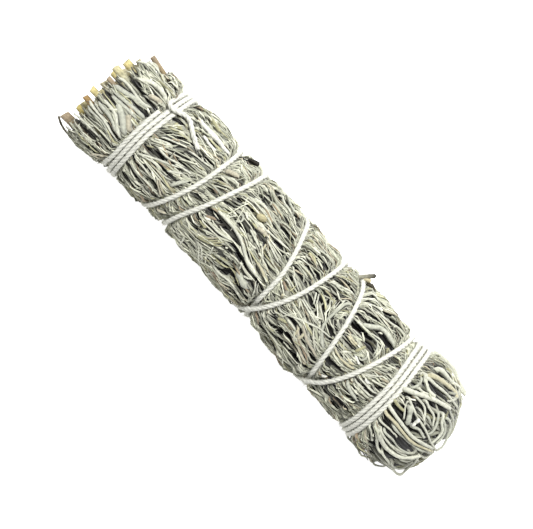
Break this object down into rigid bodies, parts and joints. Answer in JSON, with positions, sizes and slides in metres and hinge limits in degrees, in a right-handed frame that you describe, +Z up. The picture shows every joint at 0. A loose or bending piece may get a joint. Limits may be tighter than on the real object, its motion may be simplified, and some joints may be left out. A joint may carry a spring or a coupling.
{
  "type": "sage bunch",
  "caption": "Small bunch of dried sage, folded at one end with cut stems at the other, bound with a wound cotton string tied in a knot.",
  "frame": {"origin": "under the middle of the bounding box, on the plane that the bunch lies on", "axes": "+X along the bunch from the cut stems to the folded tips, +Y across it, +Z up"},
  "size_m": [0.1008, 0.0268, 0.0225],
  "materials": {
    "leaf": "dry, felted, silvery grey-green",
    "stem_straw": "dry, cut across",
    "stem_yellow": "dry, cut across",
    "stem_brown": "dry, cut across",
    "stem_tan": "dry, cut across",
    "stem_ochre": "dry, cut across",
    "stem_olive": "dry, cut across",
    "string": "twisted cotton, matt",
    "seed": "dry, dark",
    "bud": "dry",
    "twig": "dry bark, dark at the tip"
  },
  "bodies": {
    "root": {"leaf_bunch": "leaf", "stem_01": "stem_straw", "stem_02": "stem_yellow", "stem_03": "stem_brown", "stem_04": "stem_tan", "stem_05": "stem_yellow", "stem_06": "stem_ochre", "stem_07": "stem_olive", "stem_08": "stem_brown", "stem_09": "stem_brown", "stem_10": "stem_straw", "stem_11": "stem_yellow", "stem_12": "stem_straw", "stem_13": "stem_tan", "string": "string", "seed": "seed", "bud": "bud", "twig_stub": "twig"}
  },
  "joints": []
}
